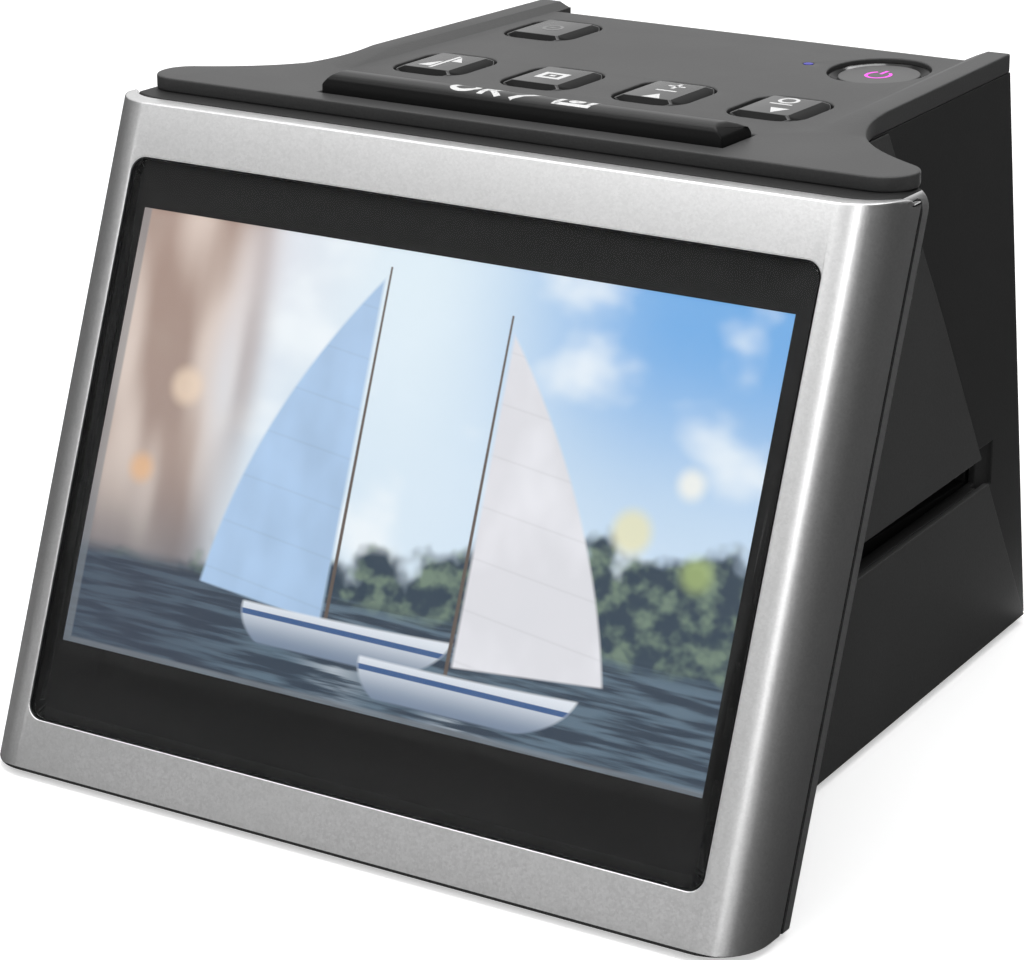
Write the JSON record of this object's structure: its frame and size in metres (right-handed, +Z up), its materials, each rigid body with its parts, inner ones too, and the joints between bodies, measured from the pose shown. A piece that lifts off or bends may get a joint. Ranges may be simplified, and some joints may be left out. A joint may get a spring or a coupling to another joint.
{
  "type": "film negative scanner",
  "caption": "Desktop film negative scanner: tilted display in a silver bezel, keys and a long capture bar on top, and a film holder slot through both sides.",
  "frame": {"origin": "on the table, under the middle of the scanner's overall box", "axes": "+X to the right of someone who faces the screen, +Y to the back, +Z up"},
  "size_m": [0.129, 0.1404, 0.0997],
  "materials": {
    "silver_paint": "fine metallic silver paint, satin",
    "window_glass": "polished flat window glass",
    "black_print": "black border printed behind the glass",
    "foam": "black foam tape",
    "display": "lit colour display",
    "sheet_metal": "plain sheet metal",
    "black_plastic": "fine matt texture",
    "panel_plastic": "fine matt texture",
    "grey_plastic": "fine matt texture",
    "bar_plastic": "fine matt texture",
    "key_plastic": "smooth satin",
    "button_plastic": "smooth satin",
    "ring_plastic": "gloss",
    "blue_lens": "lit blue",
    "rubber": "matt",
    "dark_screw": "black oxide",
    "bright_screw": "zinc plated",
    "circuit_board": "green solder mask",
    "chip_plastic": "moulded",
    "plunger_plastic": "moulded",
    "led_lens": "clear to milky",
    "gate_plastic": "matt, against stray light",
    "optic_glass": "coated lens glass",
    "white_plastic": "matt white",
    "ribbon_film": "amber film",
    "cable_plastic": "soft insulation"
  },
  "bodies": {
    "case": {"front_bezel": "silver_paint", "bezel_back": "silver_paint", "window_glass": "window_glass", "window_mask": "black_print", "lcd_gasket": "foam", "lcd_panel": "display", "lcd_bracket": "sheet_metal", "usb_socket": "sheet_metal", "video_socket": "sheet_metal", "card_socket": "sheet_metal", "rear_shell": "black_plastic", "bottom_cover": "black_plastic", "right_side_panel": "panel_plastic", "left_side_panel": "panel_plastic", "top_plate": "grey_plastic", "power_ring": "ring_plastic", "status_lens": "blue_lens", "rubber_feet": "rubber", "bezel_screws": "dark_screw", "bottom_screws": "dark_screw", "body_screws": "dark_screw", "top_screws": "dark_screw", "board_screws": "bright_screw", "gate_screws": "bright_screw", "key_board": "circuit_board", "main_board": "circuit_board", "camera_board": "circuit_board", "key_switches": "chip_plastic", "main_chips": "chip_plastic", "image_sensor": "chip_plastic", "status_led": "led_lens", "backlight_leds": "led_lens", "film_gate_upper": "gate_plastic", "film_gate_lower": "gate_plastic", "camera_holder": "gate_plastic", "lens_barrel": "gate_plastic", "lens_glass": "optic_glass", "diffuser_plate": "white_plastic", "light_box": "white_plastic", "backlight_board": "white_plastic", "lcd_ribbon": "ribbon_film", "key_ribbon": "ribbon_film", "camera_ribbon": "ribbon_film", "backlight_cable": "cable_plastic"},
    "flip_key_body": {"flip_key": "key_plastic", "flip_plunger": "plunger_plastic"},
    "mode_key_body": {"mode_key": "key_plastic", "mode_plunger": "plunger_plastic"},
    "up_key_body": {"up_key": "key_plastic", "up_plunger": "plunger_plastic"},
    "down_key_body": {"down_key": "key_plastic", "down_plunger": "plunger_plastic"},
    "menu_key_body": {"menu_key": "key_plastic", "menu_plunger": "plunger_plastic"},
    "power_button_body": {"power_button": "button_plastic", "power_plunger": "plunger_plastic"},
    "capture_bar_body": {"capture_bar": "bar_plastic", "bar_plungers": "plunger_plastic"}
  },
  "joints": [
    {"name": "flip_key_press", "type": "slide", "parent": "case", "child": "flip_key_body", "axis": [0, 0, -1], "range_m": [0, 0.0006], "stiffness_N_per_m": 900},
    {"name": "mode_key_press", "type": "slide", "parent": "case", "child": "mode_key_body", "axis": [0, 0, -1], "range_m": [0, 0.0006], "stiffness_N_per_m": 900},
    {"name": "up_key_press", "type": "slide", "parent": "case", "child": "up_key_body", "axis": [0, 0, -1], "range_m": [0, 0.0006], "stiffness_N_per_m": 900},
    {"name": "down_key_press", "type": "slide", "parent": "case", "child": "down_key_body", "axis": [0, 0, -1], "range_m": [0, 0.0006], "stiffness_N_per_m": 900},
    {"name": "menu_key_press", "type": "slide", "parent": "case", "child": "menu_key_body", "axis": [0, 0, -1], "range_m": [0, 0.0006], "stiffness_N_per_m": 900},
    {"name": "power_button_press", "type": "slide", "parent": "case", "child": "power_button_body", "axis": [0, 0, -1], "range_m": [0, 0.0005], "stiffness_N_per_m": 900},
    {"name": "capture_bar_press", "type": "slide", "parent": "case", "child": "capture_bar_body", "axis": [0, 0, -1], "range_m": [0, 0.0008], "stiffness_N_per_m": 1500}
  ]
}
